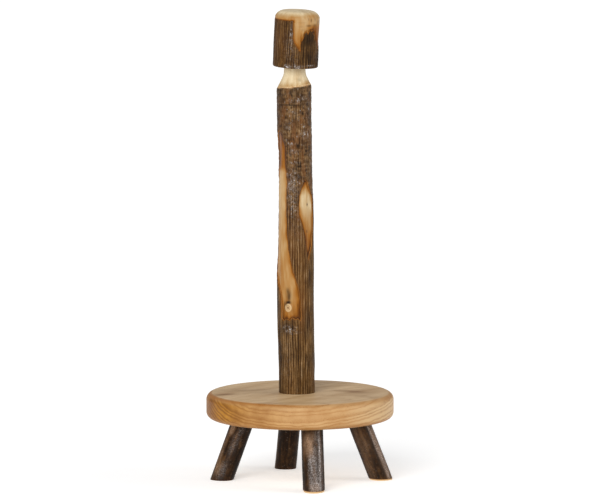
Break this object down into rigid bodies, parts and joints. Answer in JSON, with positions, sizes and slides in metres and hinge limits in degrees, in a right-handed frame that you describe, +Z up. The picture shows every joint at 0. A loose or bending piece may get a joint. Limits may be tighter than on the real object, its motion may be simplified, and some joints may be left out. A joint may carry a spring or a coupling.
{
  "type": "paper towel holder",
  "caption": "Rustic upright paper towel holder: bark-on stick post with a lift-off log cap, on a round wooden base with splayed stick legs.",
  "frame": {"origin": "on the floor, under the centre of the round base", "axes": "+Z up along the post, -Y the front, where the peeled patches of the post and the cap face, +X to the right of someone looking at the front"},
  "size_m": [0.1778, 0.1778, 0.4481],
  "materials": {
    "base_wood": "satin lacquer",
    "sapwood": "satin lacquer",
    "bark_rough": "furrowed bark, lacquered",
    "bark_smooth": "smooth bark, lacquered",
    "screw_steel": "zinc plated"
  },
  "bodies": {
    "stand": {"base_plank": "base_wood", "post_screw": "screw_steel", "leg_front_wood": "sapwood", "leg_front_bark": "bark_smooth", "leg_right_wood": "sapwood", "leg_right_bark": "bark_smooth", "leg_back_wood": "sapwood", "leg_back_bark": "bark_smooth", "leg_left_wood": "sapwood", "leg_left_bark": "bark_smooth", "post_wood": "sapwood", "post_bark": "bark_rough"},
    "cap": {"cap_wood": "sapwood", "cap_bark": "bark_rough"}
  },
  "joints": [
    {"name": "cap_lift", "type": "slide", "parent": "stand", "child": "cap", "axis": [-0.0065, 0, 1], "range_m": [0, 0.05]}
  ]
}
